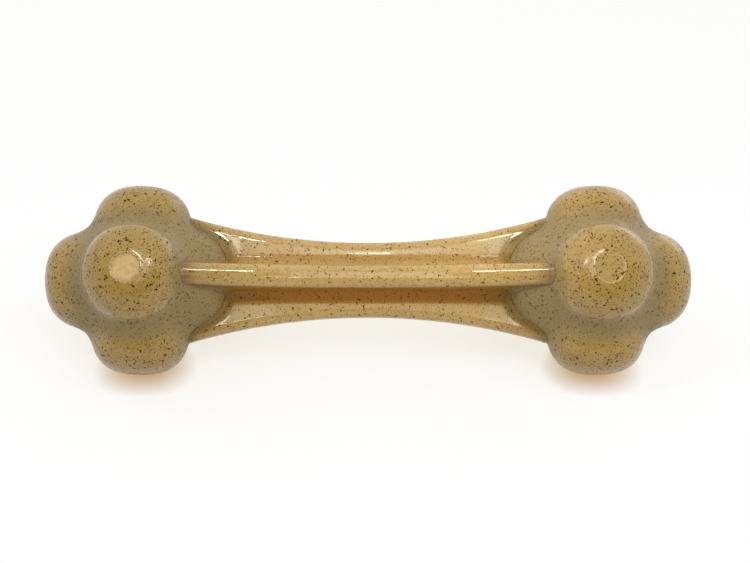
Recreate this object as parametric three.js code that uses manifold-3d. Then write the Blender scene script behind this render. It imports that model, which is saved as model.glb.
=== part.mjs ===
// Knuckle chew bone in speckled nylon: a cross-ribbed shaft with a six-lobed knuckle moulded over each end.
// Millimetres, +Z up. The bone lies as it does on a table, on two lobes of each knuckle, with its length
// along X and the origin on the table under its middle.
import * as THREE from "three";
import { mergeVertices } from "three/addons/utils/BufferGeometryUtils.js";
import Module from "manifold-3d";

// Driving dimensions
const OVERALL_LENGTH = 178; // from one end flat to the other
const LOBE_REACH = 26; // from a knuckle's centre to the flat on a lobe's tip
const INNER_REACH = 24.4; // from a knuckle's centre to the tip of the lobe that the ribs run into
const LOBE_RADIUS = 13.3; // a lobe's side, about its own axis
const LOBE_SHOULDER = 9.8; // rounding between a lobe's side and its tip
const TIP_FLAT_RADIUS = 4; // the flat that each lobe ends in
const VALLEY_FILLET = 5.8; // hollow between neighbouring lobes
const RIB_THICKNESS = 6.1;
const WAIST_HALF_HEIGHT = 10.45; // from the shaft's axis to a rib's edge, at mid-length
const RIB_EDGE_ARC = 176; // radius of the hollow curve along a rib's edge
const RIB_EDGE_ROUND = 2.4; // rounding of a rib's two long corners
const RIB_ROOT_FILLET = 3.5; // hollow where two ribs meet
const COLLAR_FILLET = 2.8; // hollow between the ribs and a knuckle's inner lobe
const COLLAR_FADE = 5; // depth below a rib's rounded edge at which a collar's fillet is full
const END_WALL = 18; // plastic between the shaft's end and the end flat
const TIP_WALL = 10; // plastic between a rib's edge, at the shaft's end, and a side lobe's flat
const WINDOW_RADIUS = 3.2; // hole in each rib that the knuckle's plastic fills
const WINDOW_OFF_AXIS = 10; // from the shaft's axis to a window's centre
const FIT_GAP = 0.3; // clearance between the shaft and a knuckle

// Mesh fineness
const LOBE_STEPS = 16; // mesh squares across a lobe, from valley to valley
const FLAT_STEPS = 2; // of these, squares from the middle of a tip flat to its rim
const CORNER_STEPS = 2; // round a rib's corner, and round half a root fillet
const FLANK_STEPS = 3; // along a rib's flank
const SHAFT_STATIONS = 14; // sections along the plain shaft
const COLLAR_STEPS = 4; // across a collar's fillet
const SOCKET_STATIONS = 4; // sections along a knuckle's socket, before its tapered stretch
const WINDOW_SIDES = 24;
const SEARCH_STEPS = 40; // halvings when a surface is searched for along a line
const BURIED = 0.02; // how far a collar's skin starts below the rib's own
const LEAST_FLAT = 0.1; // flat that is always left beside a rounding

// What follows from the driving dimensions
const KNUCKLE_X = OVERALL_LENGTH / 2 - LOBE_REACH;
const SHOULDER_ACROSS = LOBE_RADIUS - LOBE_SHOULDER; // centre of the shoulder's arc, off the lobe's axis
const RIM_ACROSS = Math.max(TIP_FLAT_RADIUS - SHOULDER_ACROSS, 0); // the flat's rim, from that centre
const SHOULDER_ALONG = LOBE_REACH - Math.sqrt(LOBE_SHOULDER ** 2 - RIM_ACROSS ** 2);
const REST_HEIGHT = (SHOULDER_ALONG + SHOULDER_ACROSS) * Math.SQRT1_2 + LOBE_SHOULDER;
const SHAFT_END_X = OVERALL_LENGTH / 2 - END_WALL;
const ENTRY_X = KNUCKLE_X - LOBE_RADIUS; // where a rib's edge goes into a side lobe
const EDGE_ROUND = Math.min(RIB_EDGE_ROUND, RIB_THICKNESS / 2 - LEAST_FLAT);
const WAIST_FLANK = WAIST_HALF_HEIGHT - EDGE_ROUND - RIB_THICKNESS / 2; // room for the root hollow
const ROOT_FILLET = Math.min(RIB_ROOT_FILLET, WAIST_FLANK - LEAST_FLAT);
const COLLAR_START_X = KNUCKLE_X - INNER_REACH - 2 * COLLAR_FILLET; // clear of a collar's fillet

const wasm = await Module();
wasm.setup();

// A closed triangle mesh as a solid that can be joined and cut.
function solidOf(geometry) {
  const bare = geometry.clone();
  bare.deleteAttribute("normal");
  bare.deleteAttribute("uv");
  const merged = mergeVertices(bare, 1e-4);
  return new wasm.Manifold(
    new wasm.Mesh({
      numProp: 3,
      vertProperties: merged.getAttribute("position").array,
      triVerts: new Uint32Array(merged.index.array),
    }),
  );
}

// A solid's skin as a mesh that can be placed and shown.
function geometryOf(solid) {
  const { vertProperties, triVerts } = solid.getMesh();
  const geometry = new THREE.BufferGeometry();
  geometry.setAttribute("position", new THREE.BufferAttribute(vertProperties, 3));
  geometry.setIndex(new THREE.BufferAttribute(triVerts, 1));
  geometry.computeVertexNormals();
  return geometry;
}

// Distance to a union whose inner corners are filleted, from the distances to what it joins.
function filletedUnion(distances, fillet) {
  const within = distances.map((distance) => Math.max(fillet - distance, 0));
  return Math.max(fillet, Math.min(...distances)) - Math.hypot(...within);
}

// Distance to two opposite lobes: a round bar with domed ends.
function lobePairDistance(along, across) {
  const pastShoulder = Math.abs(along) - SHOULDER_ALONG;
  const pastCore = across - SHOULDER_ACROSS;
  const outside = Math.hypot(Math.max(pastShoulder, 0), Math.max(pastCore, 0));
  return outside + Math.min(Math.max(pastShoulder, pastCore), 0) - LOBE_SHOULDER;
}

// Distance from a point, taken from the right knuckle's centre, to that knuckle's skin.
function knuckleDistance({ x, y, z }) {
  const alongShaft = x < 0 ? x - (LOBE_REACH - INNER_REACH) : x;
  const pairs = [
    lobePairDistance(alongShaft, Math.hypot(y, z)),
    lobePairDistance(y, Math.hypot(x, z)),
    lobePairDistance(z, Math.hypot(x, y)),
  ];
  return filletedUnion(pairs, VALLEY_FILLET);
}

// First value between low and high at which isOutside turns true.
function searchSurface(low, high, isOutside) {
  let inside = low;
  let outside = high;
  for (let step = 0; step < SEARCH_STEPS; step += 1) {
    const middle = (inside + outside) / 2;
    if (isOutside(middle)) {
      outside = middle;
    } else {
      inside = middle;
    }
  }
  return outside;
}

// Direction from the knuckle's centre for a point on a cube's face: square rings on the face become
// round ones on the lobe, with the tip flat's rim on one of them, and the cube's edges stay shared.
function lobeDirection(corner, axis) {
  const flatShare = (2 * FLAT_STEPS) / LOBE_STEPS;
  const flatSlope = TIP_FLAT_RADIUS / LOBE_REACH;
  const side = corner.clone().addScaledVector(axis, -corner.dot(axis));
  const [first, second] = side.toArray().filter((value, index) => axis.getComponent(index) === 0);
  const ring = Math.max(Math.abs(first), Math.abs(second));
  if (ring === 0) {
    return axis.clone();
  }
  const firstLeads = Math.abs(first) >= Math.abs(second);
  const turn = (Math.PI / 4) * (firstLeads ? second / first : first / second);
  const lead = Math.cos(turn) * Math.sign(firstLeads ? first : second);
  const follow = Math.tan(turn) * lead;
  const valleyShare = Math.max((ring - flatShare) / (1 - flatShare), 0);
  const angle = THREE.MathUtils.lerp(Math.atan(flatSlope), Math.PI / 4, valleyShare);
  const roundSlope = ring > flatShare ? Math.tan(angle) : (flatSlope * ring) / flatShare;
  const slope = roundSlope * (1 + (1 / Math.abs(lead) - 1) * valleyShare ** 2);
  const offsets = firstLeads ? [lead * slope, follow * slope] : [follow * slope, lead * slope];
  const spread = axis.toArray().map((value) => (value === 0 ? offsets.shift() : value));
  return new THREE.Vector3(...spread).normalize();
}

// A whole knuckle at the right end, with its skin set out by a clearance.
function knuckleGeometry(clearance) {
  const geometry = new THREE.BoxGeometry(2, 2, 2, LOBE_STEPS, LOBE_STEPS, LOBE_STEPS);
  const places = geometry.getAttribute("position");
  const facings = geometry.getAttribute("normal");
  const point = new THREE.Vector3();
  for (let index = 0; index < places.count; index += 1) {
    const corner = new THREE.Vector3().fromBufferAttribute(places, index);
    const axis = new THREE.Vector3().fromBufferAttribute(facings, index);
    const direction = lobeDirection(corner, axis);
    const skin = searchSurface(0, 2 * LOBE_REACH, (reach) => {
      return knuckleDistance(point.copy(direction).multiplyScalar(reach)) > clearance;
    });
    const flat = (LOBE_REACH + clearance) / direction.dot(axis);
    direction.multiplyScalar(Math.min(skin, flat));
    places.setXYZ(index, direction.x, direction.y, direction.z);
  }
  return geometry.translate(KNUCKLE_X, 0, 0);
}

// Evenly spaced values from first to last.
function spaced(first, last, steps) {
  return Array.from({ length: steps + 1 }, (value, step) => THREE.MathUtils.lerp(first, last, step / steps));
}

// Middle of a ring of points.
function middleOf(ring) {
  return ring.reduce((sum, point) => sum.add(point), new THREE.Vector3()).divideScalar(ring.length);
}

// A closed skin through sections along X, with equal counts of points that go round from +Y to +Z.
function loftGeometry(sections) {
  const count = sections[0].length;
  const points = sections.flat();
  const faces = [];
  for (let start = 0; start + count < points.length; start += count) {
    for (let index = 0; index < count; index += 1) {
      const here = start + index;
      const beside = start + ((index + 1) % count);
      faces.push(here, beside, beside + count, here, beside + count, here + count);
    }
  }
  const lastStart = points.length - count;
  const firstCentre = points.push(middleOf(sections[0])) - 1;
  const lastCentre = points.push(middleOf(sections.at(-1))) - 1;
  for (let index = 0; index < count; index += 1) {
    const beside = (index + 1) % count;
    faces.push(firstCentre, beside, index, lastCentre, lastStart + index, lastStart + beside);
  }
  return new THREE.BufferGeometry().setFromPoints(points).setIndex(faces);
}

// Height of a rib's edge over the shaft's axis: hollow between the knuckles, tapered inside them.
function ribHalfHeight(x) {
  const along = Math.min(Math.abs(x), ENTRY_X);
  const inKnuckle = (Math.abs(x) - along) / (SHAFT_END_X - ENTRY_X);
  const open = WAIST_HALF_HEIGHT + RIB_EDGE_ARC - Math.sqrt(RIB_EDGE_ARC ** 2 - along ** 2);
  return THREE.MathUtils.lerp(open, LOBE_REACH - TIP_WALL, inKnuckle);
}

// One side of a rib, from its edge to the middle of the root hollow: each point's place along and across
// the rib, and the way it faces.
function ribSide(halfHeight, grow) {
  const half = RIB_THICKNESS / 2 + grow;
  const round = EDGE_ROUND + grow;
  const hollow = ROOT_FILLET - grow;
  const cornerAlong = halfHeight + grow - round;
  const hollowCentre = half + hollow;
  const points = [];
  for (const angle of spaced(0, Math.PI / 2, CORNER_STEPS)) {
    const facing = new THREE.Vector2(Math.cos(angle), Math.sin(angle));
    const place = new THREE.Vector2(cornerAlong, half - round).addScaledVector(facing, round);
    points.push({ place, facing });
  }
  for (const along of spaced(cornerAlong, hollowCentre, FLANK_STEPS).slice(1, -1)) {
    points.push({ place: new THREE.Vector2(along, half), facing: new THREE.Vector2(0, 1) });
  }
  for (const angle of spaced(0, Math.PI / 4, CORNER_STEPS)) {
    const facing = new THREE.Vector2(Math.sin(angle), Math.cos(angle));
    const place = new THREE.Vector2(hollowCentre, hollowCentre).addScaledVector(facing, -hollow);
    points.push({ place, facing });
  }
  return points;
}

// A quarter of the cross of ribs at one place along the shaft, grown all round: each point's place, the
// way it faces, and the share of a collar's fillet that it takes.
function quarterSection(x, grow) {
  const halfHeight = ribHalfHeight(x);
  const side = ribSide(halfHeight, grow).map(({ place, facing }) => ({
    base: new THREE.Vector3(x, place.x, place.y),
    outward: new THREE.Vector3(0, facing.x, facing.y),
    share: THREE.MathUtils.clamp((halfHeight - EDGE_ROUND - place.x) / COLLAR_FADE, 0, 1),
  }));
  const otherSide = side.slice(0, -1).reverse().map(({ base, outward, share }) => ({
    base: new THREE.Vector3(x, base.z, base.y),
    outward: new THREE.Vector3(0, outward.z, outward.y),
    share,
  }));
  return [...side, ...otherSide];
}

// A quarter's points, turned about the shaft's axis to all four quarters.
function fourQuarters(quarter) {
  const axis = new THREE.Vector3(1, 0, 0);
  return [0, 1, 2, 3].flatMap((turn) => {
    return quarter.map((point) => point.clone().applyAxisAngle(axis, (turn * Math.PI) / 2));
  });
}

// The bare cross-ribbed bar through the given places, grown all round.
function barGeometry(stations, grow) {
  const sections = stations.map((x) => quarterSection(x, grow).map(({ base }) => base));
  return loftGeometry(sections.map(fourQuarters));
}

// Distance from a point of the shaft to the right knuckle's skin.
function rightKnuckleDistance(point) {
  return knuckleDistance({ x: point.x - KNUCKLE_X, y: point.y, z: point.z });
}

// A point of a collar's fillet. The rib's own point is taken where its distance to the knuckle's skin is
// the given one, then raised off the rib until it lies on the fillet.
function collarPoint(index, distance) {
  const fromKnuckle = searchSurface(0, KNUCKLE_X - COLLAR_START_X, (back) => {
    return rightKnuckleDistance(quarterSection(KNUCKLE_X - back, -BURIED)[index].base) > distance;
  });
  const { base, outward, share } = quarterSection(KNUCKLE_X - fromKnuckle, -BURIED)[index];
  const lift = searchSurface(0, COLLAR_FILLET, (rise) => {
    const raised = base.clone().addScaledVector(outward, rise);
    return filletedUnion([rightKnuckleDistance(raised), rise], COLLAR_FILLET) > 0;
  });
  return base.addScaledVector(outward, share * lift);
}

// The fillet's own body round the right end of the shaft, before the knuckle's place is cut out of it.
// Its rows follow the knuckle's skin, from clear of the fillet to well inside the knuckle.
function collarGeometry() {
  const angles = spaced(0, Math.PI / 2, COLLAR_STEPS);
  const indices = quarterSection(KNUCKLE_X, 0).map((point, index) => index);
  const rows = angles.map((angle) => {
    return indices.map((index) => collarPoint(index, COLLAR_FILLET * (1 - Math.sin(angle))));
  });
  const inside = rows.at(-1).map((point) => point.clone().setX(point.x + COLLAR_FILLET));
  return loftGeometry([...rows, inside].map(fourQuarters));
}

// Four round plugs through the ribs, inside the right knuckle.
function windowPlugs(radius) {
  const plugs = [0, 1, 2, 3].map((turn) => {
    const plug = new THREE.CylinderGeometry(radius, radius, 2 * RIB_THICKNESS, WINDOW_SIDES);
    plug.rotateX(Math.PI / 2).translate(KNUCKLE_X, WINDOW_OFF_AXIS, 0);
    return solidOf(plug.rotateX((turn * Math.PI) / 2));
  });
  return plugs.reduce((joined, plug) => joined.add(plug));
}

// The same body at the other end: half a turn about the upright axis.
function turnedRound(solid) {
  return solidOf(geometryOf(solid).rotateZ(Math.PI));
}

// The shaft, with a collar and four windows at each end.
function shaftSolid() {
  const stations = [-SHAFT_END_X, ...spaced(-ENTRY_X, ENTRY_X, SHAFT_STATIONS), SHAFT_END_X];
  const collar = solidOf(collarGeometry()).subtract(solidOf(knuckleGeometry(FIT_GAP)));
  const windows = windowPlugs(WINDOW_RADIUS);
  return solidOf(barGeometry(stations, 0))
    .add(collar)
    .add(turnedRound(collar))
    .subtract(windows)
    .subtract(turnedRound(windows));
}

// The right knuckle, with the room for the shaft's end and the plugs that fill the windows.
function rightKnuckleSolid() {
  const stations = [...spaced(COLLAR_START_X, ENTRY_X, SOCKET_STATIONS), SHAFT_END_X + FIT_GAP];
  const socket = solidOf(barGeometry(stations, FIT_GAP)).subtract(windowPlugs(WINDOW_RADIUS - FIT_GAP));
  return solidOf(knuckleGeometry(0)).subtract(socket);
}

const polishedNylon = new THREE.MeshStandardMaterial({ color: 0xc9a566, roughness: 0.2, metalness: 0 });
const satinNylon = new THREE.MeshStandardMaterial({ color: 0xa8905f, roughness: 0.45, metalness: 0 });
const knuckle = geometryOf(rightKnuckleSolid());

const shaft = new THREE.Mesh(geometryOf(shaftSolid()), polishedNylon);
shaft.name = "ribbed_shaft";

const rightKnuckle = new THREE.Mesh(knuckle, satinNylon);
rightKnuckle.name = "right_knuckle";

const leftKnuckle = new THREE.Mesh(knuckle, satinNylon.clone());
leftKnuckle.name = "left_knuckle";
leftKnuckle.rotation.z = Math.PI;

// The bone lies rolled an eighth of a turn, on the shoulders of two lobes at each end.
const bone = new THREE.Group();
bone.add(shaft, leftKnuckle, rightKnuckle);
bone.rotation.x = Math.PI / 4;
bone.position.z = REST_HEIGHT;

export default new THREE.Group().add(bone);
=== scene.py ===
"""Looks of a nylon knuckle chew bone: a ribbed shaft with a six-lobed knuckle moulded over each end.

The forms are worked out in millimetres in the bone's own axes, X along the shaft, Y and Z along its ribs,
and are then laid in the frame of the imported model, in metres.
"""
import logging
import math
from collections.abc import Callable
from dataclasses import dataclass
from enum import Enum

import bmesh
import bpy
import numpy as np
from mathutils import Matrix, Vector


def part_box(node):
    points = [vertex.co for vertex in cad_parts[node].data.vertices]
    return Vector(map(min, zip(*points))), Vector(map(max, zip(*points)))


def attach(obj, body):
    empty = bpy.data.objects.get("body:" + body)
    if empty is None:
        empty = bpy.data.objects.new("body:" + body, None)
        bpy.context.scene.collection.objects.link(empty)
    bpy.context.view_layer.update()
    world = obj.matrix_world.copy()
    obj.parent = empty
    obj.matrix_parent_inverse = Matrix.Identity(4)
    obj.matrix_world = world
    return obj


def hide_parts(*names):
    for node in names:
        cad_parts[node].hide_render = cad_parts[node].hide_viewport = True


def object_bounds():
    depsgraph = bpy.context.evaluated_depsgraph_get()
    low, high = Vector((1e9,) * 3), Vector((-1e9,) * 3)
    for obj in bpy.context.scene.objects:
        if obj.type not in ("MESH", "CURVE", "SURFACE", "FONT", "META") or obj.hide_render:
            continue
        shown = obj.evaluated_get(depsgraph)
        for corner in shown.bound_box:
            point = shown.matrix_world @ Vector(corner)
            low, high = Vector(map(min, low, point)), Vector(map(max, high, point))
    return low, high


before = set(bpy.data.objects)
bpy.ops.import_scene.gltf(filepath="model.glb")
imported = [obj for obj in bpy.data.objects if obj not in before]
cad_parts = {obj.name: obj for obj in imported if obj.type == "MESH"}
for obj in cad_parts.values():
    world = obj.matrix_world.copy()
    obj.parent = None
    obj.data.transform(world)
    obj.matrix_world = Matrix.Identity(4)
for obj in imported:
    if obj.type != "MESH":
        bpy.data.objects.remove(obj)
CAD_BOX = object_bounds()

MM = 0.001
POINT_SLACK_MM = 0.01
# The middle of the bone as it lies, in metres.
BONE_MIDDLE = (0.0, 0.0, 0.024)
HOLLOW = "hollow"
SEAM = "seam"
WHITE = "#FFFFFF"
# Numbers of the Mix node's colour sockets, which share their names with its other sockets.
MIX_UNDER, MIX_OVER, MIX_RESULT = 6, 7, 2
LOG = logging.getLogger("chew_bone")
Array = np.ndarray
Piece = bpy.types.Object
Tree = bpy.types.NodeTree
Socket = bpy.types.NodeSocket
Input = Socket | float | tuple[float, ...]


class Side(Enum):
    """The two ends of the bone, as they lie in the photograph."""

    LEFT = -1
    RIGHT = 1


class RibWay(Enum):
    """The four ways that ribs and side lobes point, in the bone's own axes."""

    TOP = (0.0, 1.0, 0.0)
    FRONT = (0.0, 0.0, 1.0)
    BOTTOM = (0.0, -1.0, 0.0)
    BACK = (0.0, 0.0, -1.0)


def linear(hex_colour: str) -> tuple[float, float, float, float]:
    """Turns an sRGB hex colour into linear light.

    Args:
        hex_colour: Six hex digits after a hash.

    Returns:
        Red, green, blue and an alpha of 1.
    """
    shares = [int(hex_colour[start:start + 2], 16) / 255 for start in (1, 3, 5)]
    red, green, blue = (
        share / 12.92 if share <= 0.04045 else ((share + 0.055) / 1.055) ** 2.4 for share in shares
    )
    return red, green, blue, 1.0


def add_node(
    tree: Tree,
    kind: str,
    inputs: dict[str | int, Input] | None = None,
    **settings: object,
) -> bpy.types.Node:
    """Adds a node with its settings, and sets or links its inputs.

    Args:
        tree: The node tree that takes the node.
        kind: The node's type name, without the ShaderNode that it starts with.
        inputs: Values to set, or sockets to link, by the input's name or number.
        settings: Properties of the node itself.

    Returns:
        The new node.
    """
    node = tree.nodes.new(f"ShaderNode{kind}")
    for name, value in settings.items():
        setattr(node, name, value)
    for key, value in (inputs or {}).items():
        if isinstance(value, Socket):
            tree.links.new(value, node.inputs[key])
        else:
            node.inputs[key].default_value = value
    return node


def start_piece(name: str, add_primitive: Callable[..., object], **settings: object) -> Piece:
    """Adds a primitive with nothing else selected, and opens it in edit mode.

    Args:
        name: The piece's name.
        add_primitive: The operator that adds it.
        settings: The operator's settings.

    Returns:
        The new object, in edit mode and selected all over.
    """
    bpy.ops.object.select_all(action="DESELECT")
    add_primitive(**settings)
    piece = bpy.context.object
    piece.name = name
    piece.data.name = name
    bpy.ops.object.mode_set(mode="EDIT")
    return piece


def select_faces(piece: Piece, belongs: Callable[[bmesh.types.BMFace], bool]) -> None:
    """Selects the faces that a test picks, and no others.

    Args:
        piece: The object in edit mode.
        belongs: The test.
    """
    bpy.ops.mesh.select_mode(type="FACE")
    bpy.ops.mesh.select_all(action="DESELECT")
    form = bmesh.from_edit_mesh(piece.data)
    for face in form.faces:
        face.select_set(belongs(face))
    bmesh.update_edit_mesh(piece.data)


def read_points(piece: Piece) -> Array:
    """Reads the places of a mesh's points.

    Args:
        piece: The object, in object mode.

    Returns:
        One row of x, y and z for each point.
    """
    places = np.zeros(len(piece.data.vertices) * 3)
    piece.data.vertices.foreach_get("co", places)
    return places.reshape(-1, 3)


def write_points(piece: Piece, places: Array) -> None:
    """Sets the places of a mesh's points from one row each."""
    piece.data.vertices.foreach_set("co", places.ravel())
    piece.data.update()


def ease(shares: Array) -> Array:
    """Cuts shares to between 0 and 1 and rounds off the ends of their rise."""
    cut = np.clip(shares, 0, 1)
    return cut * cut * (3 - 2 * cut)


def write_shares(piece: Piece, name: str, shares: Array) -> None:
    """Stores a share from 0 to 1 for each point of a mesh, for its material."""
    layer = piece.data.attributes.new(name, "FLOAT", "POINT")
    layer.data.foreach_set("value", shares.astype(np.float32))


def apply_modifier(piece: Piece, kind: str, **settings: object) -> None:
    """Adds a modifier with its settings and applies it.

    Args:
        piece: The object, in object mode.
        kind: The modifier's type.
        settings: Its properties.
    """
    modifier = piece.modifiers.new(kind.title(), kind)
    for name, value in settings.items():
        setattr(modifier, name, value)
    bpy.context.view_layer.objects.active = piece
    bpy.ops.object.modifier_apply(modifier=modifier.name)


def search_outward(
    low: Array, high: Array, is_outside: Callable[[Array], Array], steps: int = 40
) -> Array:
    """Finds, for each entry, the first value at which a test turns true.

    Args:
        low: Values at which the test is false.
        high: Values at which it is true.
        is_outside: The test, for all entries at once.
        steps: Number of halvings.

    Returns:
        The values found.
    """
    inside, outside = low.copy(), high.copy()
    for _ in range(steps):
        middle = (inside + outside) / 2
        out = is_outside(middle)
        outside = np.where(out, middle, outside)
        inside = np.where(out, inside, middle)
    return outside


def filleted_union(distances: list[Array], fillet: float) -> Array:
    """Gives the distance to a union whose inner corners are filleted.

    Args:
        distances: Distances to each of the joined bodies.
        fillet: Radius of the hollow.

    Returns:
        One distance for each point.
    """
    stacked = np.stack(distances)
    within = np.maximum(fillet - stacked, 0)
    return np.maximum(fillet, stacked.min(axis=0)) - np.sqrt((within**2).sum(axis=0))


@dataclass(frozen=True)
class BonePlaces:
    """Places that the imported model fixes, in millimetres in the bone's own axes."""

    reach: float
    knuckle_x: float
    shaft_end_x: float
    rest_height: float
    roll: float = math.radians(45)

    @classmethod
    def read(cls, reach: float = 26.0) -> "BonePlaces":
        """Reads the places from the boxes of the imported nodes.

        Args:
            reach: Distance from a knuckle's centre to the flat tips of its lobes.

        Returns:
            The places.
        """
        _, shaft_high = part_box("ribbed_shaft")
        return cls(
            reach=reach,
            knuckle_x=CAD_BOX[1].x / MM - reach,
            shaft_end_x=shaft_high.x / MM,
            rest_height=(CAD_BOX[0].z + CAD_BOX[1].z) / 2 / MM,
        )

    def lay(self, piece: Piece, shift_x: float = 0.0, half_turned: bool = False) -> None:
        """Moves a mesh from the bone's own axes to its place in the frame.

        Args:
            piece: The object, modelled in millimetres.
            shift_x: Distance along the bone to move it.
            half_turned: Whether it is first turned end for end, with its front kept in front.
        """
        about_front = Matrix.Rotation(math.pi if half_turned else 0.0, 4, "Z")
        slide = Matrix.Translation(Vector((shift_x, 0, 0)))
        turn = Matrix.Rotation(self.roll, 4, "X")
        lift = Matrix.Translation(Vector((0, 0, self.rest_height)))
        piece.data.transform(Matrix.Scale(MM, 4) @ lift @ turn @ slide @ about_front)
        piece.data.update()


@dataclass(frozen=True)
class KnuckleForm:
    """A knuckle's skin: three crossed round bars with domed ends, filleted into each other."""

    reach: float
    inner_cut: float = 1.6
    lobe_radius: float = 13.3
    shoulder: float = 9.8
    flat_radius: float = 4.0
    valley_fillet: float = 5.8
    hollow_clearance: float = 2.4
    open_clearance: float = 6.8
    inner_fade: tuple[float, float] = (9.0, 15.0)
    inset: float = 0.02

    @property
    def shoulder_across(self) -> float:
        """Centre of the shoulder's arc, off the lobe's axis."""
        return self.lobe_radius - self.shoulder

    @property
    def shoulder_along(self) -> float:
        """Centre of the shoulder's arc, along the lobe's axis."""
        rim = max(self.flat_radius - self.shoulder_across, 0)
        return self.reach - math.sqrt(self.shoulder**2 - rim**2)

    def dome_height(self, across: float) -> float:
        """Height of a lobe's dome over the knuckle's centre, at a distance off the lobe's axis."""
        past = max(across - self.shoulder_across, 0)
        return self.shoulder_along + math.sqrt(self.shoulder**2 - past**2)

    def pair_distance(self, along: Array, across: Array) -> Array:
        """Gives the distance to two opposite lobes.

        Args:
            along: Distances along the lobes' axis.
            across: Distances off it.

        Returns:
            One distance for each point.
        """
        past_shoulder = np.abs(along) - self.shoulder_along
        past_core = across - self.shoulder_across
        outside = np.hypot(np.maximum(past_shoulder, 0), np.maximum(past_core, 0))
        return outside + np.minimum(np.maximum(past_shoulder, past_core), 0) - self.shoulder

    def distance(self, points: Array) -> Array:
        """Gives the distance from points, taken from the knuckle's centre, to its skin."""
        return filleted_union(self.pair_distances(points), self.valley_fillet)

    def pair_distances(self, points: Array) -> list[Array]:
        """Gives the distances to the three pairs of lobes; the inner lobe, on the shaft, is shorter.

        Args:
            points: Places from the knuckle's centre, one row each.

        Returns:
            For each pair, one distance for each point.
        """
        x, y, z = points.T
        along_shaft = np.where(x < 0, x - self.inner_cut, x)
        return [
            self.pair_distance(along_shaft, np.hypot(y, z)),
            self.pair_distance(y, np.hypot(x, z)),
            self.pair_distance(z, np.hypot(x, y)),
        ]

    def hollow(self, points: Array) -> Array:
        """Tells how deep in the hollows between the lobes, and how far onto the inner lobe, points of the
        skin lie; there the material paints a greyer, darker tone as painted sheen and painted shade.

        Args:
            points: Places from the knuckle's centre, one row each.

        Returns:
            A share from 0 to 1 for each point.
        """
        second = np.sort(np.stack(self.pair_distances(points)), axis=0)[1]
        between = ease((self.open_clearance - second) / (self.open_clearance - self.hollow_clearance))
        start, end = self.inner_fade
        on_inner_lobe = ease((-points[:, 0] - start) / (end - start))
        return np.maximum(between, on_inner_lobe)

    def outward(self, points: Array, step: float = 1e-3) -> Array:
        """Finds the way that the skin faces near points, from the slope of the distance.

        Args:
            points: Places from the knuckle's centre, one row each.
            step: Half the length over which the slope is taken.

        Returns:
            A way of length 1 for each point.
        """
        slopes = [
            self.distance(points + offset) - self.distance(points - offset) for offset in step * np.eye(3)
        ]
        ways = np.stack(slopes, axis=1)
        return ways / np.linalg.norm(ways, axis=1, keepdims=True)

    def gauge(self, points: Array) -> Array:
        """Moves points straight out from, or in to, the knuckle's centre until they lie just in the skin.

        Args:
            points: Places from the knuckle's centre, one row each.

        Returns:
            The moved places.
        """
        ways = points / np.linalg.norm(points, axis=1, keepdims=True)
        reaches = search_outward(
            np.zeros(len(points)),
            np.full(len(points), 2 * self.reach),
            lambda lengths: self.distance(ways * lengths[:, None]) > -self.inset,
        )
        return ways * reaches[:, None]


@dataclass(frozen=True)
class SpeckleLayer:
    """Bran flakes of one size, mixed into the plastic: long grains that the surface cuts through."""

    spacing_mm: float
    half_axes_mm: tuple[float, float, float]
    presence: float
    least_size: float
    edge: float
    faintest: float
    strongest: float
    colour: str

    def lay_over(
        self,
        tree: Tree,
        place: Socket,
        under: Socket,
        gloss: Socket,
        crowding: Socket,
    ) -> tuple[Socket, Socket]:
        """Draws the flakes over a colour.

        Args:
            tree: The material's nodes.
            place: The point's place, in metres.
            under: The colour below.
            gloss: The gloss below.
            crowding: How thick the flakes lie here, where 1 is their usual number.

        Returns:
            The colour with the flakes in it, and the gloss, which the flakes take away.
        """
        cells = add_node(tree, "TexVoronoi", {"Vector": place, "Scale": 1 / (self.spacing_mm * MM)})
        chance = add_node(tree, "TexWhiteNoise", {"Vector": cells.outputs["Position"]})
        offset = add_node(tree, "VectorMath", {0: place, 1: cells.outputs["Position"]}, operation="SUBTRACT")
        spin = {0: chance.outputs["Color"], "Scale": math.tau}
        angles = add_node(tree, "VectorMath", spin, operation="SCALE")
        turn = {"Vector": offset.outputs[0], "Rotation": angles.outputs[0]}
        turned = add_node(tree, "VectorRotate", turn, rotation_type="EULER_XYZ")
        widths = tuple(1 / (half * MM) for half in self.half_axes_mm)
        shaped = add_node(tree, "VectorMath", {0: turned.outputs[0], 1: widths}, operation="MULTIPLY")
        radius = add_node(tree, "VectorMath", {0: shaped.outputs[0]}, operation="LENGTH")
        draw = chance.outputs["Value"]
        sizes = {"Value": draw, "From Max": self.presence, "To Min": 1.0, "To Max": self.least_size}
        size = add_node(tree, "MapRange", sizes)
        share = add_node(tree, "Math", {0: crowding, 1: self.presence}, operation="MULTIPLY")
        kept = add_node(tree, "Math", {0: draw, 1: share.outputs[0]}, operation="LESS_THAN")
        depth = {0: size.outputs[0], 1: radius.outputs["Value"]}
        inside = add_node(tree, "Math", depth, operation="SUBTRACT")
        shade = add_node(tree, "SeparateColor", {"Color": cells.outputs["Color"]})
        strengths = {"Value": shade.outputs[0], "To Min": self.faintest, "To Max": self.strongest}
        strength = add_node(tree, "MapRange", strengths)
        rise = {"Value": inside.outputs[0], "From Max": self.edge, "To Max": strength.outputs[0]}
        cover = add_node(tree, "MapRange", rise, interpolation_type="SMOOTHSTEP")
        shown = add_node(tree, "Math", {0: cover.outputs[0], 1: kept.outputs[0]}, operation="MULTIPLY")
        layers = {"Factor": shown.outputs[0], MIX_UNDER: under, MIX_OVER: linear(self.colour)}
        flakes = add_node(tree, "Mix", layers, data_type="RGBA")
        bare = add_node(tree, "Math", {0: 1.0, 1: shown.outputs[0]}, operation="SUBTRACT")
        left = add_node(tree, "Math", {0: gloss, 1: bare.outputs[0]}, operation="MULTIPLY")
        return flakes.outputs[MIX_RESULT], left.outputs[0]


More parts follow.
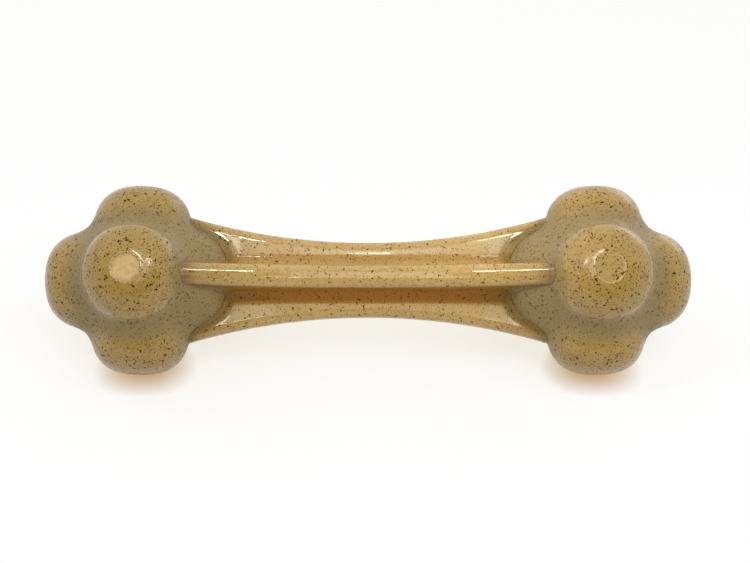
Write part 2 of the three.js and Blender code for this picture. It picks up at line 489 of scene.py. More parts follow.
KNUCKLE_BRAN = (
    SpeckleLayer(0.9, (0.5, 0.42, 0.38), 0.7, 0.5, 0.8, 0.1, 0.5, "#CFB27A"),
    SpeckleLayer(0.8, (0.54, 0.4, 0.35), 0.8, 0.5, 0.8, 0.15, 0.6, "#6E4A08"),
    SpeckleLayer(0.5, (0.44, 0.26, 0.22), 0.68, 0.5, 0.35, 0.45, 1.0, "#5C3A02"),
    SpeckleLayer(1.1, (0.85, 0.39, 0.32), 0.52, 0.55, 0.25, 0.75, 1.0, "#442600"),
)
SHAFT_BRAN = (
    SpeckleLayer(0.95, (0.56, 0.42, 0.36), 0.75, 0.5, 0.8, 0.1, 0.4, "#7A5410"),
    SpeckleLayer(0.52, (0.43, 0.24, 0.2), 0.72, 0.5, 0.35, 0.25, 0.9, "#5E3C06"),
    SpeckleLayer(1.2, (0.8, 0.35, 0.29), 0.55, 0.55, 0.25, 0.6, 1.0, "#482C00"),
)
GATE_BRAN = (
    SpeckleLayer(0.8, (0.5, 0.4, 0.35), 0.7, 0.5, 0.8, 0.1, 0.4, "#8A6A30"),
    SpeckleLayer(1.0, (0.42, 0.25, 0.21), 0.5, 0.5, 0.4, 0.2, 0.7, "#6A4818"),
)


@dataclass(frozen=True)
class SpeckledNylon:
    """Moulded nylon 6 with bran in it: waxy and a little translucent, with dark flakes at all depths."""

    name: str
    bran: tuple[SpeckleLayer, ...]
    deep_tone: str
    pale_tone: str
    # Tone of the hollows: painted shade, on the knuckles also painted grey sheen; on the gate, the colour
    # round the torn patch.
    hollow_tone: str
    # Tone of the seams: painted shade on the shaft towards each knuckle, worn crests on the knuckles'
    # ridges.
    seam_tone: str
    roughness: float
    hollow_roughness: float
    seam_roughness: float
    grain_mm: float
    grain_depth_mm: float
    scatter: float
    scatter_mm: float = 1.6
    scatter_reach: tuple[float, float, float] = (1.0, 0.7, 0.38)
    mottle_mm: float = 7.0
    crowd_mm: float = 6.0
    crowd_noise: tuple[float, float] = (0.3, 0.7)
    crowd_share: tuple[float, float] = (0.3, 1.4)
    sheen: float = 0.0
    sheen_roughness: float = 0.4
    sheen_tone: str = "#F2F2F0"
    ior: float = 1.53
    gloss: float = 0.5
    hollow_gloss: float = 0.5
    matte_hollow: float = 1.0
    hollow_painted_shade: float = 0.0
    seam_edge: float = 0.6

    def material(self) -> bpy.types.Material:
        """Makes the material.

        Returns:
            The material, which reads the mesh's own shares of hollow and seam.
        """
        material = bpy.data.materials.new(self.name)
        material.use_nodes = True
        tree = material.node_tree
        tree.nodes.clear()
        place = add_node(tree, "TexCoord").outputs["Object"]
        hollow = add_node(tree, "Attribute", attribute_name=HOLLOW).outputs["Fac"]
        seam = add_node(tree, "Attribute", attribute_name=SEAM).outputs["Fac"]
        noises = []
        for blot_mm, detail in ((self.mottle_mm, 3.0), (self.crowd_mm, 1.0), (self.grain_mm, 2.0)):
            blots = {"Vector": place, "Scale": 1 / (blot_mm * MM), "Detail": detail}
            noises.append(add_node(tree, "TexNoise", blots).outputs["Fac"])
        mottle, crowd, grain = noises
        # The hollow tone is painted shade and, on the knuckles, painted sheen; the seam tone is painted
        # shade on the shaft and worn crests on the knuckles.
        colour = linear(self.deep_tone)
        for share, tone in ((mottle, self.pale_tone), (hollow, self.hollow_tone), (seam, self.seam_tone)):
            layers = {"Factor": share, MIX_UNDER: colour, MIX_OVER: linear(tone)}
            colour = add_node(tree, "Mix", layers, data_type="RGBA").outputs[MIX_RESULT]
        gloss = add_node(
            tree,
            "MapRange",
            {
                "Value": hollow,
                "From Max": self.matte_hollow,
                "To Min": self.gloss,
                "To Max": self.hollow_gloss,
            },
        ).outputs[0]
        open_skin = {"Value": hollow, "To Min": self.roughness, "To Max": self.hollow_roughness}
        roughness = add_node(tree, "MapRange", open_skin).outputs[0]
        roughness = add_node(
            tree,
            "MapRange",
            {
                "Value": seam,
                "From Min": self.seam_edge,
                "To Min": roughness,
                "To Max": self.seam_roughness,
            },
        ).outputs[0]
        crowding = add_node(
            tree,
            "MapRange",
            {
                "Value": crowd,
                "From Min": self.crowd_noise[0],
                "From Max": self.crowd_noise[1],
                "To Min": self.crowd_share[0],
                "To Max": self.crowd_share[1],
            },
        ).outputs[0]
        for layer in self.bran:
            colour, gloss = layer.lay_over(tree, place, colour, gloss, crowding)
        # Veils the flakes in the hollows under the hollow tone: painted shade, and on the knuckles painted
        # sheen too.
        painted_shade = add_node(tree, "Math", {0: hollow, 1: self.hollow_painted_shade}, operation="MULTIPLY")
        layers = {"Factor": painted_shade.outputs[0], MIX_UNDER: colour, MIX_OVER: linear(self.hollow_tone)}
        colour = add_node(tree, "Mix", layers, data_type="RGBA").outputs[MIX_RESULT]
        bump = add_node(tree, "Bump", {"Height": grain, "Distance": self.grain_depth_mm * MM})
        skin = add_node(
            tree,
            "BsdfPrincipled",
            {
                "Base Color": colour,
                "Roughness": roughness,
                "IOR": self.ior,
                "Specular IOR Level": gloss,
                "Subsurface Weight": self.scatter,
                "Subsurface Radius": self.scatter_reach,
                "Subsurface Scale": self.scatter_mm * MM,
                "Sheen Weight": self.sheen,
                "Sheen Roughness": self.sheen_roughness,
                "Sheen Tint": linear(self.sheen_tone),
                "Normal": bump.outputs["Normal"],
            },
        )
        add_node(tree, "OutputMaterial", {"Surface": skin.outputs[0]})
        return material


# The knuckles: a waxy satin skin, golden on the lobes and duller in the hollows between them; the greyer,
# darker tone in those hollows and on the inner lobe is painted sheen and painted shade.
SATIN_NYLON = SpeckledNylon(
    name="satin_speckled_nylon",
    bran=KNUCKLE_BRAN,
    deep_tone="#A0823B",
    pale_tone="#B2934B",
    hollow_tone="#948052",
    seam_tone="#CDB07A",
    roughness=0.22,
    hollow_roughness=0.5,
    seam_roughness=0.22,
    grain_mm=0.9,
    grain_depth_mm=0.012,
    scatter=0.5,
    sheen=0.12,
    gloss=0.6,
    hollow_gloss=0.38,
    hollow_painted_shade=0.42,
)
# The shaft: a mirror-bright skin; its tone, paler than the knuckles', is painted light shining through the
# thin ribs, and the brown tone of its dull root hollows is painted shade.
POLISHED_NYLON = SpeckledNylon(
    name="polished_speckled_nylon",
    bran=SHAFT_BRAN,
    deep_tone="#C1A361",
    pale_tone="#CEB171",
    hollow_tone="#B07C34",
    seam_tone="#8A7034",
    roughness=0.03,
    hollow_roughness=0.2,
    seam_roughness=0.3,
    grain_mm=6.0,
    grain_depth_mm=0.006,
    scatter=1.0,
    scatter_mm=3.0,
    gloss=0.5,
    hollow_gloss=0.12,
    matte_hollow=0.3,
    hollow_painted_shade=0.1,
)
# The trimmed gate: torn plastic, pale and rough.
SCUFFED_NYLON = SpeckledNylon(
    name="scuffed_nylon",
    bran=GATE_BRAN,
    deep_tone="#AE8848",
    pale_tone="#E2C488",
    hollow_tone="#A88646",
    seam_tone="#CDB07A",
    roughness=0.4,
    hollow_roughness=0.3,
    seam_roughness=0.3,
    grain_mm=0.4,
    grain_depth_mm=0.03,
    scatter=0.4,
    mottle_mm=1.5,
)


@dataclass
class KnucklePair:
    """Two alike knuckles: six round lobes, each ending in a flat with a fine moulding ridge round it."""

    places: BonePlaces
    ridge_outer: float = 4.3
    ridge_slope: float = 0.16
    ridge_top: float = 0.14
    ridge_height: float = 0.09
    crest_wear: float = 0.4
    cap_margin: float = 0.05
    gate_radius: float = 3.75
    gate_edge: float = 0.7
    # For each wave of the torn edge: its height, how many go round, and where it starts.
    gate_waves: tuple[tuple[float, float, float], ...] = ((0.3, 2.0, 0.6), (0.2, 5.0, 2.0))
    ring_angles: tuple[float, ...] = (0.45, 0.85, 1.2)
    subdivisions: int = 3
    # How much wider than the finished lobe its eight-sided cage is, as rounding draws it in.
    cage_spread: float = 1.0243
    smooth_angle: float = math.radians(40)

    @property
    def ridge_width(self) -> float:
        """Width of a ridge over both its slopes."""
        return 2 * self.ridge_slope + self.ridge_top

    @property
    def form(self) -> KnuckleForm:
        """The knuckle's skin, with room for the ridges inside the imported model's reach."""
        return KnuckleForm(reach=self.places.reach - self.ridge_height)

    def rings(self) -> list[tuple[float, float]]:
        """Gives the rings of the cage, from a lobe's foot to its ridge.

        Returns:
            The radius of each ring, and its height over the knuckle's centre.
        """
        form = self.form
        arcs = [
            (
                form.shoulder_across + form.shoulder * math.cos(angle),
                form.shoulder_along + form.shoulder * math.sin(angle),
            )
            for angle in self.ring_angles
        ]
        return [*arcs, (self.ridge_outer, form.dome_height(self.ridge_outer))]

    def is_cap(self, places: Array, margin: float) -> Array:
        """Tells which points lie inside the ridge's outer foot, on any but the inner lobe.

        Args:
            places: Places from the knuckle's centre, one row each.
            margin: How far inside that foot they have to lie.

        Returns:
            True or false for each point.
        """
        heights = np.abs(places).max(axis=1)
        across = np.sqrt(np.maximum((places**2).sum(axis=1) - heights**2, 0))
        on_inner_lobe = -places[:, 0] == heights
        return (across < self.ridge_outer - margin) & (heights > self.form.shoulder_along) & ~on_inner_lobe

    def model(self) -> Piece:
        """Models one knuckle about its own centre, in millimetres.

        Returns:
            The finished mesh, in object mode.
        """
        form = self.form
        valley = form.lobe_radius + form.valley_fillet * (1 - math.sqrt(0.5))
        corner_cut = 2 * valley * (1 - math.sqrt(0.5))
        piece = start_piece("right_knuckle_skin", bpy.ops.mesh.primitive_cube_add, size=2 * valley)
        bpy.ops.mesh.bevel(offset=corner_cut, affect="VERTICES", segments=1)
        select_faces(piece, lambda face: len(face.verts) == 8)
        apothem, height = valley, valley
        for radius, along in self.rings():
            ring_apothem = radius * self.cage_spread
            bpy.ops.mesh.inset(thickness=apothem - ring_apothem, depth=along - height, use_individual=True)
            apothem, height = ring_apothem, along
        bpy.ops.transform.edge_crease(value=1.0)
        bpy.ops.object.mode_set(mode="OBJECT")
        apply_modifier(piece, "SUBSURF", levels=self.subdivisions, render_levels=self.subdivisions)
        self.press_to_gauge(piece)
        self.raise_ridges(piece)
        bpy.ops.object.shade_smooth_by_angle(angle=self.smooth_angle)
        return piece

    def press_to_gauge(self, piece: Piece) -> None:
        """Brings the rounded cage onto the knuckle's true skin, and its caps onto the flats.

        Args:
            piece: The knuckle, in object mode.
        """
        places = read_points(piece)
        pressed = self.form.gauge(places)
        caps = self.is_cap(places, self.cap_margin)
        leading = np.abs(places) == np.abs(places).max(axis=1, keepdims=True)
        flat = np.sign(places) * self.form.dome_height(self.ridge_outer)
        pressed[caps] = np.where(leading, flat, places)[caps]
        write_points(piece, pressed)

    def raise_ridges(self, piece: Piece) -> None:
        """Raises the fine ridge round each flat, sinks the flat inside it, and stores the shares.

        Args:
            piece: The knuckle, in object mode.
        """
        bpy.ops.object.mode_set(mode="EDIT")
        select_faces(piece, lambda face: bool(self.is_cap(np.array([face.calc_center_median()]), 0.0)[0]))
        steps = (
            (self.ridge_slope, self.ridge_height),
            (self.ridge_top, 0.0),
            (self.ridge_slope, -self.ridge_height),
        )
        for thickness, depth in steps:
            bpy.ops.mesh.inset(thickness=thickness, depth=depth)
        bpy.ops.object.mode_set(mode="OBJECT")
        places = read_points(piece)
        write_shares(piece, HOLLOW, self.form.hollow(places))
        crests = self.is_cap(places, self.ridge_slope / 2) & ~self.is_cap(places, self.ridge_width)
        write_shares(piece, SEAM, self.crest_wear * crests)

    def build(self) -> list[Piece]:
        """Models one knuckle, copies it, and lays both at their ends of the bone.

        Returns:
            The left and the right knuckle.
        """
        right = self.model()
        left = right.copy()
        left.data = right.data.copy()
        left.name = "left_knuckle_skin"
        left.data.name = left.name
        bpy.context.collection.objects.link(left)
        for piece, side in ((left, Side.LEFT), (right, Side.RIGHT)):
            self.places.lay(piece, side.value * self.places.knuckle_x, half_turned=side is Side.LEFT)
        return [left, right]

    def dress(self, pieces: list[Piece]) -> None:
        """Gives both knuckles their satin skin, and the left one the scar of its moulding gate.

        Args:
            pieces: The left and the right knuckle.
        """
        satin = SATIN_NYLON.material()
        for piece, node in zip(pieces, ("left_knuckle", "right_knuckle")):
            piece.data.materials.append(satin)
            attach(piece, "root")
            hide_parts(node)
        self.scar(pieces[0])

    def scar(self, piece: Piece) -> None:
        """Gives the front flat of a knuckle the torn finish of a trimmed gate, with a ragged edge.

        Args:
            piece: The left knuckle, laid in the frame.
        """
        piece.data.materials.append(SCUFFED_NYLON.material())
        turn = Matrix.Rotation(self.places.roll, 3, "X")
        axis = turn @ Vector(RibWay.FRONT.value)
        up = turn @ Vector(RibWay.TOP.value)
        centre = Vector((-self.places.knuckle_x, 0, self.places.rest_height)) * MM
        foot = self.ridge_outer - self.ridge_width
        shoulder = self.form.shoulder_along

        def measure(point: Vector) -> tuple[float, float, float]:
            """Measures a point of the mesh against the lobe.

            Args:
                point: The point's place in the frame.

            Returns:
                Its height up the lobe, its distance off the axis, and its angle round it.
            """
            arm = (point - centre) / MM
            height = arm.dot(axis)
            return height, (arm - height * axis).length, math.atan2(arm.dot(up), arm.x)

        for face in piece.data.polygons:
            height, across, _ = measure(face.center)
            if height > shoulder and across < foot:
                face.material_index = 1
        shares = piece.data.attributes[HOLLOW].data
        for vertex in piece.data.vertices:
            height, across, angle = measure(vertex.co)
            if height > shoulder and across < foot + POINT_SLACK_MM:
                ragged = sum(rise * math.sin(count * angle + lag) for rise, count, lag in self.gate_waves)
                edge = (across - self.gate_radius - ragged) / self.gate_edge + 1
                shares[vertex.index].value = min(max(edge, 0), 1)


@dataclass
class RibbedShaft:
    """The shaft: a cross of four waisted ribs, flared into a collar where it meets each knuckle."""

    places: BonePlaces
    knuckle: KnuckleForm
    thickness: float = 6.1
    waist_half_height: float = 10.45
    edge_arc: float = 176.0
    edge_round: float = 2.4
    root_fillet: float = 3.5
    collar_fillet: float = 2.8
    collar_fade: float = 5.0
    collar_lip: float = 0.08
    # The root hollows' brown tone is painted shade, deepest below the front rib.
    root_fade: float = 0.5
    root_shade_depth: float = 0.3
    root_spread: float = 0.1
    front_root_shade_depth: float = 1.0
    # Over these widths the shaft darkens towards each knuckle: painted shade.
    seam_width: float = 4.8
    painted_shade_width: float = 11.0
    painted_shade_share: float = 0.35
    tongue_half_height: float = 16.0
    # How far beside each rounded corner the flat goes on, so that the shading keeps it flat.
    hold: float = 0.12
    corner_steps: int = 8
    flank_steps: int = 5
    plain_rows: int = 16
    run_in_rows: int = 6
    collar_rows: int = 9
    buried: float = 0.6
    merge_gap: float = 1e-3
    smooth_angle: float = math.radians(40)

    @property
    def entry_x(self) -> float:
        """Where a rib's edge goes into a side lobe."""
        return self.places.knuckle_x - self.knuckle.lobe_radius

    def half_height(self, x: Array) -> Array:
        """Gives the height of a rib's edge over the axis: hollow outside the knuckles, tapered inside.

        Args:
            x: Places along the shaft.

        Returns:
            One height for each place.
        """
        along = np.minimum(x, self.entry_x)
        inside = (x - along) / (self.places.shaft_end_x - self.entry_x)
        edge = self.waist_half_height + self.edge_arc - np.sqrt(self.edge_arc**2 - along**2)
        return edge + (self.tongue_half_height - edge) * inside

    def rib_side(self) -> Array:
        """Gives one side of a rib, from its edge to the middle of the root hollow.

        Returns:
            For each point: the share of the rib's height in its place along the rib, the rest of that
            place, its place across the rib, and the way it faces along and across.
        """
        half = self.thickness / 2
        centre = half + self.root_fillet
        rows = [(1.0, 0.0, half - self.edge_round - self.hold, 1.0, 0.0)]
        for angle in np.linspace(0, math.pi / 2, self.corner_steps + 1):
            cosine, sine = math.cos(angle), math.sin(angle)
            across = half - self.edge_round + self.edge_round * sine
            rows.append((1.0, self.edge_round * (cosine - 1), across, cosine, sine))
        rows.append((1.0, -self.edge_round - self.hold, half, 0.0, 1.0))
        for share in np.linspace(0, 1, self.flank_steps + 1)[1:-1]:
            rows.append((1 - share, share * centre - (1 - share) * self.edge_round, half, 0.0, 1.0))
        rows.append((0.0, centre + self.hold, half, 0.0, 1.0))
        for angle in np.linspace(0, math.pi / 4, self.corner_steps + 1):
            cosine, sine = math.cos(angle), math.sin(angle)
            along = centre - self.root_fillet * sine
            rows.append((0.0, along, centre - self.root_fillet * cosine, sine, cosine))
        return np.array(rows)

    def section(self, x: Array) -> tuple[Array, Array, Array]:
        """Gives one side of a rib at places along the shaft, one place for each point.

        Args:
            x: Places along the shaft.

        Returns:
            The points, the ways they face, and the share of the collar's fillet that each takes.
        """
        share, rest, across, face_along, face_across = self.rib_side().T
        height = self.half_height(x)
        along = share * height + rest
        points = np.stack([x, along, across], axis=1)
        ways = np.stack([np.zeros_like(x), face_along, face_across], axis=1)
        return points, ways, np.clip((height - self.edge_round - along) / self.collar_fade, 0, 1)

    def skin_distance(self, points: Array) -> Array:
        """Gives the distance to the right knuckle's skin, less the collar's lip."""
        return self.knuckle.distance(points - (self.places.knuckle_x, 0, 0)) - self.collar_lip

    def row_at_distance(self, distance: float) -> Array:
        """Finds where along the shaft each point of a rib's side lies a distance from the knuckle.

        Args:
            distance: The distance from the knuckle's skin.

        Returns:
            One place along the shaft for each point.
        """
        count = len(self.rib_side())
        back = search_outward(
            np.zeros(count),
            np.full(count, self.places.knuckle_x),
            lambda steps: self.skin_distance(self.section(self.places.knuckle_x - steps)[0]) > distance,
        )
        return self.places.knuckle_x - back

    def collar_row(self, angle: float) -> Array:
        """Gives a row of the collar's fillet.

        Args:
            angle: The row's place round the fillet, from the rib at 0 to the knuckle.

        Returns:
            One point for each point of a rib's side.
        """
        base, ways, share = self.section(self.row_at_distance(self.collar_fillet * (1 - math.sin(angle))))
        lift = search_outward(
            np.zeros(len(base)),
            np.full(len(base), self.collar_fillet),
            lambda rise: filleted_union(
                [self.skin_distance(base + ways * rise[:, None]), rise], self.collar_fillet
            ) > 0,
        )
        return base + ways * (share * lift)[:, None]

    def rows(self) -> list[Array]:
        """Gives one side of a rib, row by row.

        Returns:
            The rows, from mid-length to the shaft's end inside the knuckle.
        """
        count = len(self.rib_side())
        fillet_start = self.row_at_distance(self.collar_fillet)
        plain_end = fillet_start.min() - self.collar_fillet
        stations = [np.full(count, x) for x in np.linspace(0, plain_end, self.plain_rows + 1)]
        for share in np.linspace(0, 1, self.run_in_rows + 1)[1:-1]:
            stations.append(plain_end + (fillet_start - plain_end) * share)
        rows = [self.section(station)[0] for station in stations]
        rows += [self.collar_row(angle) for angle in np.linspace(0, math.pi / 2, self.collar_rows)]
        lip = rows[-1]
        inward = self.knuckle.outward(lip - (self.places.knuckle_x, 0, 0))
        rows.append(lip - inward * (self.collar_lip + self.buried))
        rows.append(self.section(np.full(count, self.places.knuckle_x))[0])
        rows.append(self.section(np.full(count, self.places.shaft_end_x))[0])
        return rows

    def whole_ring(self, side: Array) -> Array:
        """Turns one side of a rib into the whole cross: its mirror image, and both turned four times.

        Args:
            side: One row of a rib's side.

        Returns:
            A closed ring of points.
        """
        other = side[-2::-1, [0, 2, 1]]
        quarter = np.concatenate([side, other])
        turns = []
        for turn in range(len(RibWay)):
            angle = math.tau * turn / len(RibWay)
            cosine, sine = round(math.cos(angle)), round(math.sin(angle))
            x, y, z = quarter.T
            turns.append(np.stack([x, cosine * y - sine * z, sine * y + cosine * z], axis=1))
        return np.concatenate(turns)

    def build(self) -> Piece:
        """Models half the shaft by pulling a ring of edges out row by row, then mirrors it.

        Returns:
            The finished mesh, laid in the frame.
        """
        rings = [self.whole_ring(row) for row in self.rows()]
        piece = start_piece(
            "ribbed_shaft_skin", bpy.ops.mesh.primitive_circle_add, vertices=len(rings[0]), radius=1.0
        )
        bpy.ops.mesh.select_mode(type="EDGE")
        form = bmesh.from_edit_mesh(piece.data)
        form.verts.ensure_lookup_table()
        around = sorted(form.verts, key=lambda vertex: math.atan2(vertex.co.y, vertex.co.x) % math.tau)
        for vertex, place in zip(around, rings[0]):
            vertex.co = place
        bmesh.update_edit_mesh(piece.data)
        for before, ring in zip(rings, rings[1:]):
            bpy.ops.mesh.extrude_edges_move()
            self.set_ring(piece, before, ring)
        bpy.ops.mesh.edge_face_add()
        bpy.ops.mesh.select_all(action="SELECT")
        bpy.ops.mesh.normals_make_consistent(inside=False)
        bpy.ops.object.mode_set(mode="OBJECT")
        apply_modifier(piece, "MIRROR", use_axis=(True, False, False), merge_threshold=self.merge_gap)
        bpy.ops.object.shade_smooth_by_angle(angle=self.smooth_angle)
        write_shares(piece, HOLLOW, self.root_shade_share(read_points(piece)))
        write_shares(piece, SEAM, self.seam_share(read_points(piece)))
        self.places.lay(piece)
        return piece

    def root_shade_share(self, points: Array) -> Array:
        """Tells how deep a painted shade the root hollows take, deepest below the front rib, which shades
        that hollow.

        Args:
            points: Places in the bone's own axes, one row each.

        Returns:
            A share from 0 to 1 for each point.
        """
        nearer_rib = np.abs(points[:, 1:]).min(axis=1)
        farther_rib = np.abs(points[:, 1:]).max(axis=1)
        below_front_rib = (points[:, 1] < 0) & (points[:, 2] > 0)
        root_edge = self.thickness / 2 + self.root_fillet + np.where(below_front_rib, 0, self.root_spread)
        share = ease((root_edge + self.root_fade - farther_rib) / self.root_fade)
        depth = np.where(below_front_rib, self.front_root_shade_depth, self.root_shade_depth)
        return np.where(nearer_rib > self.thickness / 2 - POINT_SLACK_MM, share * depth, 0)

    def seam_share(self, points: Array) -> Array:
        """Tells how near to a knuckle points of the skin lie; the material paints the shaft darker towards
        it, as painted shade.

        Args:
            points: Places in the bone's own axes, one row each.

        Returns:
            A share from 0 to 1 for each point.
        """
        gap = self.skin_distance(np.column_stack([np.abs(points[:, 0]), points[:, 1:]]))
        painted_shade = self.painted_shade_share * ease(1 - gap / self.painted_shade_width)
        return np.maximum(ease(1 - gap / self.seam_width), painted_shade)

    def set_ring(self, piece: Piece, before: Array, ring: Array) -> None:
        """Places the ring that was just pulled out.

        Args:
            piece: The object in edit mode, with the new ring selected.
            before: Where the new ring's points lie now, which is where the ring before it lies.
            ring: Where they go.
        """
        form = bmesh.from_edit_mesh(piece.data)
        for vertex in form.verts:
            if vertex.select:
                nearest = ((before - np.array(vertex.co)) ** 2).sum(axis=1).argmin()
                vertex.co = ring[nearest]
        bmesh.update_edit_mesh(piece.data)

    def dress(self, piece: Piece) -> None:
        """Gives the shaft its polished skin.

        Args:
            piece: The shaft.
        """
        piece.data.materials.append(POLISHED_NYLON.material())
        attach(piece, "root")
        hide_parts("ribbed_shaft")


@dataclass(frozen=True)
class FlatLamp:
    """A flat lamp that either only lights or only shows in gloss; its places and sizes are in metres."""

    name: str
    place: tuple[float, float, float]
    aim: tuple[float, float, float]
    size: tuple[float, float]
    level: float
    glints: bool = False
    spread: float = math.pi


@dataclass(frozen=True)
class WallLamp:
    """A lamp on a wall square to the front rib: its span along the bone and up the wall, in metres."""

    name: str
    across: tuple[float, float]
    up: tuple[float, float]
    level: float
    distance: float = 0.6
    lean: float = math.radians(45)

    def flat_lamp(self) -> FlatLamp:
        """Gives the lamp that faces straight out of the wall, and only shows in gloss.

        Returns:
            The lamp.
        """
        turn = Matrix.Rotation(self.lean, 3, "X")
        foot = turn @ Vector((sum(self.across) / 2, sum(self.up) / 2, 0.0)) + Vector(BONE_MIDDLE)
        place = foot + turn @ Vector((0, 0, self.distance))
        size = (self.across[1] - self.across[0], self.up[1] - self.up[0])
        return FlatLamp(self.name, tuple(place), tuple(foot), size, self.level, glints=True)


@dataclass(frozen=True)
class StripLamp:
    """A thin lamp close over the middle of the shaft, which the top rib mirrors as a line; in metres."""

    name: str
    shift: float
    offset: float
    size: tuple[float, float]
    level: float
    place: tuple[float, float] = (-0.0325, 0.0794)
    upward: tuple[float, float, float] = (0.0, 0.806, 0.592)
    aim: tuple[float, float, float] = (0.0, 0.0031, 0.0311)

    def flat_lamp(self) -> FlatLamp:
        """Gives the lamp that faces the top rib, and only shows in gloss."""
        place = Vector((self.shift, *self.place)) + Vector(self.upward) * self.offset
        return FlatLamp(self.name, tuple(place), self.aim, self.size, self.level, glints=True)


ROOM_LAMPS = (
    FlatLamp("soft_top", (0.2, -0.5, 0.86), BONE_MIDDLE, (0.9, 0.6), 3.8),
    FlatLamp("left_fill", (-0.4, 0.1, 0.5), BONE_MIDDLE, (0.3, 0.3), 1.6),
    FlatLamp(
        "right_fill", (-0.12, -0.06, 0.2), (0.059, 0.0, 0.036), (0.05, 0.05), 0.46, spread=math.radians(18)
    ),
    FlatLamp("right_wall", (0.5, 0.62, 0.15), BONE_MIDDLE, (0.4, 0.3), 1.2, glints=True),
)
WALL_LAMPS = (
    WallLamp("upper_window", (-0.0955, 0.083), (0.095, 0.125), 2.6),
    WallLamp("upper_glow", (-0.05, 0.05), (0.088, 0.108), 2.0, distance=0.58),
    WallLamp("middle_window", (-0.0955, 0.083), (0.064, 0.095), 2.9),
    WallLamp("lower_window", (-0.069, 0.083), (0.035, 0.064), 1.15),
    WallLamp("upper_left_panel", (-0.125, -0.0955), (0.095, 0.125), 8.0),
    WallLamp("upper_right_panel", (0.083, 0.115), (0.095, 0.125), 5.0),
    WallLamp("lower_left_panel", (-0.115, -0.069), (0.035, 0.064), 2.4),
    WallLamp("lower_right_panel", (0.083, 0.115), (0.035, 0.064), 2.4),
    WallLamp("middle_bar", (-0.1, 0.1), (0.175, 0.215), 5.0),
    WallLamp("lower_bar", (-0.07, 0.07), (-0.02, 0.035), 3.0),
    WallLamp("lower_left_spot", (-0.115, -0.07), (-0.02, 0.035), 10.0),
    WallLamp("lower_right_spot", (0.07, 0.115), (-0.02, 0.035), 10.0),
    WallLamp("left_bar", (-0.09, -0.047), (0.08, 0.105), 50.0, distance=0.3),
    WallLamp("right_bar", (0.046, 0.09), (0.08, 0.105), 50.0, distance=0.3),
)
STRIP_LAMPS = (
    StripLamp("upper_strip", -0.0002, 0.00112, (0.0077, 0.0003), 44.0),
    StripLamp("lower_strip", 0.00015, -0.0003, (0.0135, 0.0003), 34.0),
)


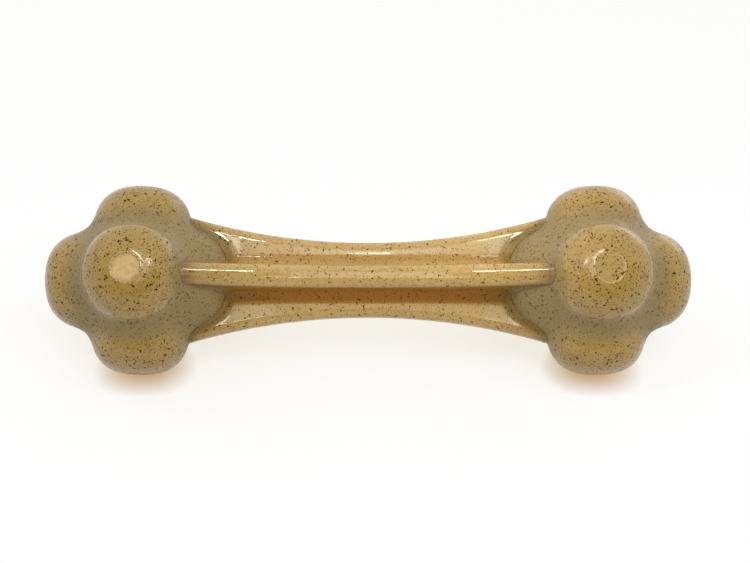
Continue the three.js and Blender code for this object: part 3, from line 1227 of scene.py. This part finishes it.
@dataclass
class Studio:
    """A pale table in a white light tent, open towards the camera, with lamps over its front."""

    floor_half: float = 3.0
    floor_bounce: str = "#E0DBD0"
    # How much of the table's red, green and blue the lamps give it, and a shadow takes away.
    shadow_share: tuple[float, float, float] = (0.17, 0.215, 0.31)
    # A golden painted shadow where the bone nearly touches the table, standing in for light through the
    # plastic.
    contact_shadow_tone: str = "#B68A40"
    contact_reach: float = 0.0065
    contact_samples: int = 16
    glint_tone: str = "#FFF8EA"
    tent_level: float = 0.62
    opening_level: float = 0.15
    opening_way: tuple[float, float, float] = (0.0, -0.9, 0.43)
    opening_inner: float = 0.85
    opening_outer: float = 0.5

    def build(self) -> None:
        """Makes the table, the tent's light and the lamps."""
        self.lay_floor()
        self.light_tent()
        self.hang_lamps()

    @staticmethod
    def seen_share(tree: Tree) -> Socket:
        """Tells what is seen, also in gloss or through something, from what only lights.

        Args:
            tree: The node tree.

        Returns:
            1 for what is seen, and 0 for light.
        """
        path = add_node(tree, "LightPath").outputs
        shown = path["Is Camera Ray"]
        for ray in ("Is Glossy Ray", "Is Transmission Ray"):
            shown = add_node(tree, "Math", {0: shown, 1: path[ray]}, operation="MAXIMUM").outputs[0]
        return shown

    def lay_floor(self) -> None:
        """Lays the table that the bone lies on: white to the eye, with the bone's shadow on it and a golden
        painted shadow where the bone nearly touches it.
        """
        bpy.ops.object.select_all(action="DESELECT")
        bpy.ops.mesh.primitive_plane_add(size=2 * self.floor_half)
        floor = bpy.context.object
        floor.name = "table"
        material = bpy.data.materials.new("white_table")
        material.use_nodes = True
        tree = material.node_tree
        tree.nodes.clear()
        paper = add_node(tree, "BsdfDiffuse", {"Color": (*self.shadow_share, 1.0)})
        lit_share = (*(1 - share for share in self.shadow_share), 1.0)
        # Painted shadow: near the bone the table's glow turns to the golden contact tone.
        reach = {"Distance": self.contact_reach}
        nearness = add_node(tree, "AmbientOcclusion", reach, samples=self.contact_samples)
        near = nearness.outputs["AO"]
        layers = {"Factor": near, MIX_UNDER: linear(self.contact_shadow_tone), MIX_OVER: lit_share}
        tinted = add_node(tree, "Mix", layers, data_type="RGBA")
        glow = add_node(tree, "Emission", {"Color": tinted.outputs[MIX_RESULT]})
        lifted = add_node(tree, "AddShader", {0: paper.outputs[0], 1: glow.outputs[0]})
        bounce = add_node(tree, "BsdfDiffuse", {"Color": linear(self.floor_bounce)})
        seen = self.seen_share(tree)
        mix = add_node(tree, "MixShader", {0: seen, 1: bounce.outputs[0], 2: lifted.outputs[0]})
        add_node(tree, "OutputMaterial", {"Surface": mix.outputs[0]})
        floor.data.materials.append(material)

    def light_tent(self) -> None:
        """Makes the tent's white walls, softer as a light than to the eye, and its dark opening."""
        world = bpy.data.worlds.new("light_tent")
        bpy.context.scene.world = world
        world.use_nodes = True
        tree = world.node_tree
        tree.nodes.clear()
        way = add_node(tree, "TexCoord").outputs["Generated"]
        facing = add_node(tree, "VectorMath", {0: way, 1: self.opening_way}, operation="DOT_PRODUCT")
        wall = add_node(
            tree,
            "MapRange",
            {
                "Value": facing.outputs["Value"],
                "From Min": self.opening_outer,
                "From Max": self.opening_inner,
                "To Min": 1.0,
                "To Max": self.opening_level,
            },
            interpolation_type="SMOOTHSTEP",
        ).outputs[0]
        softened = add_node(tree, "Math", {0: wall, 1: self.tent_level}, operation="MULTIPLY").outputs[0]
        light = add_node(tree, "Background", {"Color": linear(WHITE), "Strength": softened})
        shown = add_node(tree, "Background", {"Color": linear(WHITE), "Strength": wall})
        seen = self.seen_share(tree)
        mix = add_node(tree, "MixShader", {0: seen, 1: light.outputs[0], 2: shown.outputs[0]})
        add_node(tree, "OutputWorld", {"Surface": mix.outputs[0]})

    def hang_lamps(self) -> None:
        """Hangs the room's lamps, the wall of panels that the flats mirror, and the thin strips."""
        mirrored = [lamp.flat_lamp() for lamp in (*WALL_LAMPS, *STRIP_LAMPS)]
        for lamp in (*ROOM_LAMPS, *mirrored):
            self.hang(lamp)

    def hang(self, lamp: FlatLamp) -> None:
        """Hangs one lamp.

        Args:
            lamp: The lamp, whose level is 1 where it is as bright as a white wall.
        """
        width, height = lamp.size
        light = bpy.data.lights.new(lamp.name, "AREA")
        light.shape = "RECTANGLE"
        light.size, light.size_y = width, height
        light.energy = lamp.level * math.pi * width * height
        light.color = linear(self.glint_tone if lamp.glints else WHITE)[:3]
        light.spread = lamp.spread
        holder = bpy.data.objects.new(lamp.name, light)
        holder.location = lamp.place
        way = Vector(lamp.aim) - Vector(lamp.place)
        holder.rotation_euler = way.to_track_quat("-Z", "Y").to_euler()
        holder.visible_glossy = lamp.glints
        holder.visible_diffuse = not lamp.glints
        holder.visible_camera = False
        bpy.context.collection.objects.link(holder)


@dataclass(frozen=True)
class PhotoCamera:
    """The camera, fitted to the photograph's view of the bone; lengths are in metres."""

    elevation: float = math.radians(37.57)
    distance: float = 0.3801
    target: tuple[float, float, float] = (0.0, 0.0, 0.023)
    slide_right: float = 0.0019
    slide_up: float = 0.00028
    focal_pixels: float = 1363.8
    frame_width_pixels: float = 750.0
    clip_start: float = 0.01

    def build(self) -> None:
        """Makes the camera and gives it to the scene."""
        data = bpy.data.cameras.new("photo_camera")
        data.lens = self.focal_pixels / self.frame_width_pixels * data.sensor_width
        data.clip_start = self.clip_start
        back = Vector((0, -math.cos(self.elevation), math.sin(self.elevation)))
        up = Vector((0, math.sin(self.elevation), math.cos(self.elevation)))
        right = Vector((1, 0, 0))
        camera = bpy.data.objects.new("photo_camera", data)
        camera.location = (
            Vector(self.target) + back * self.distance + right * self.slide_right + up * self.slide_up
        )
        camera.rotation_euler = (-back).to_track_quat("-Z", "Y").to_euler()
        bpy.context.collection.objects.link(camera)
        bpy.context.scene.camera = camera


def main() -> None:
    """Builds the bone, the table, the light and the camera."""
    logging.basicConfig(level=logging.INFO, format="%(name)s: %(message)s")
    bpy.context.scene.view_settings.view_transform = "Standard"
    places = BonePlaces.read()
    knuckles = KnucklePair(places)
    shaft = RibbedShaft(places, knuckles.form)
    shaft_piece = shaft.build()
    shaft.dress(shaft_piece)
    knuckle_pieces = knuckles.build()
    knuckles.dress(knuckle_pieces)
    for piece in (shaft_piece, *knuckle_pieces):
        LOG.info("%s: %d faces", piece.name, len(piece.data.polygons))
    Studio().build()
    PhotoCamera().build()


if __name__ == "__main__":
    main()
